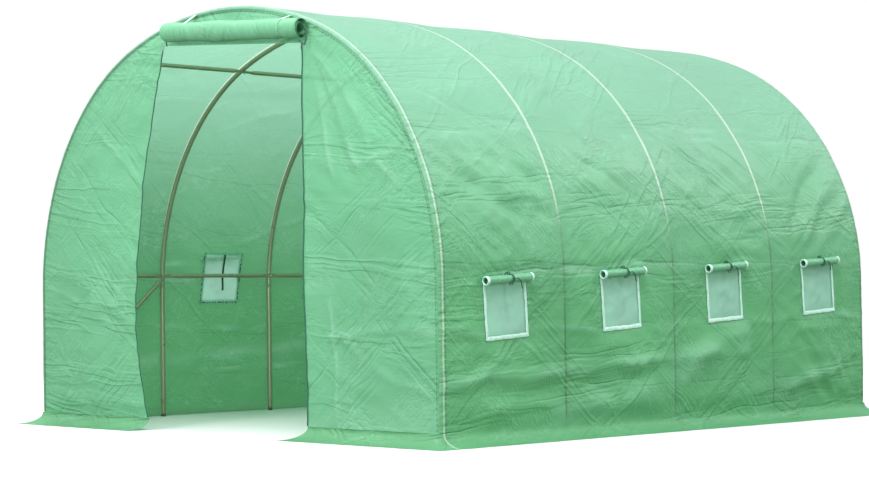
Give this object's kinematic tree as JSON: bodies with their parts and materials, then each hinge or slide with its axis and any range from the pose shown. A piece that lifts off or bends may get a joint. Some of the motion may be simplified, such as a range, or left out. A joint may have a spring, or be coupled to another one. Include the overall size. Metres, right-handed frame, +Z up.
{
  "type": "polytunnel greenhouse",
  "caption": "Walk-in arched polytunnel: bent steel tube hoops, purlins and corner braces under a green woven sheet, with a rolled-up door flap, netted side windows and a ground skirt.",
  "frame": {"origin": "on the ground at the middle of the plan", "axes": "+Z up; +Y along the tunnel from the door end to the closed rear end; +X to the right seen from the door end"},
  "size_m": [3.2246, 3.2246, 2.0023],
  "materials": {
    "tube_steel": "satin",
    "cover_sheet": "satin",
    "skirt_sheet": "satin",
    "window_net": "matte",
    "zip_tape": "matte",
    "pale_webbing": "matte",
    "dark_webbing": "matte"
  },
  "bodies": {
    "root": {"door_roll": "cover_sheet", "door_ties": "pale_webbing", "door_zips": "zip_tape", "front_header": "cover_sheet", "front_left_brace": "tube_steel", "front_left_skirt": "skirt_sheet", "front_left_wall": "cover_sheet", "front_right_brace": "tube_steel", "front_right_skirt": "skirt_sheet", "front_right_wall": "cover_sheet", "hoop_1_crown": "tube_steel", "hoop_1_legs": "tube_steel", "hoop_1_side_bends": "tube_steel", "hoop_2_crown": "tube_steel", "hoop_2_legs": "tube_steel", "hoop_2_side_bends": "tube_steel", "hoop_3_crown": "tube_steel", "hoop_3_legs": "tube_steel", "hoop_3_side_bends": "tube_steel", "hoop_4_crown": "tube_steel", "hoop_4_legs": "tube_steel", "hoop_4_side_bends": "tube_steel", "hoop_5_crown": "tube_steel", "hoop_5_legs": "tube_steel", "hoop_5_side_bends": "tube_steel", "left_lower_purlin": "tube_steel", "left_roof_slope": "cover_sheet", "left_side_wall": "cover_sheet", "left_skirt": "skirt_sheet", "left_upper_purlin": "tube_steel", "left_window_nets": "window_net", "left_window_rolls": "cover_sheet", "rear_left_brace": "tube_steel", "rear_right_brace": "tube_steel", "rear_skirt": "skirt_sheet", "rear_wall": "cover_sheet", "right_lower_purlin": "tube_steel", "right_roof_slope": "cover_sheet", "right_side_wall": "cover_sheet", "right_skirt": "skirt_sheet", "right_upper_purlin": "tube_steel", "right_window_nets": "window_net", "right_window_rolls": "cover_sheet", "roof_crown": "cover_sheet", "window_straps": "dark_webbing", "window_ties": "dark_webbing"}
  },
  "joints": []
}
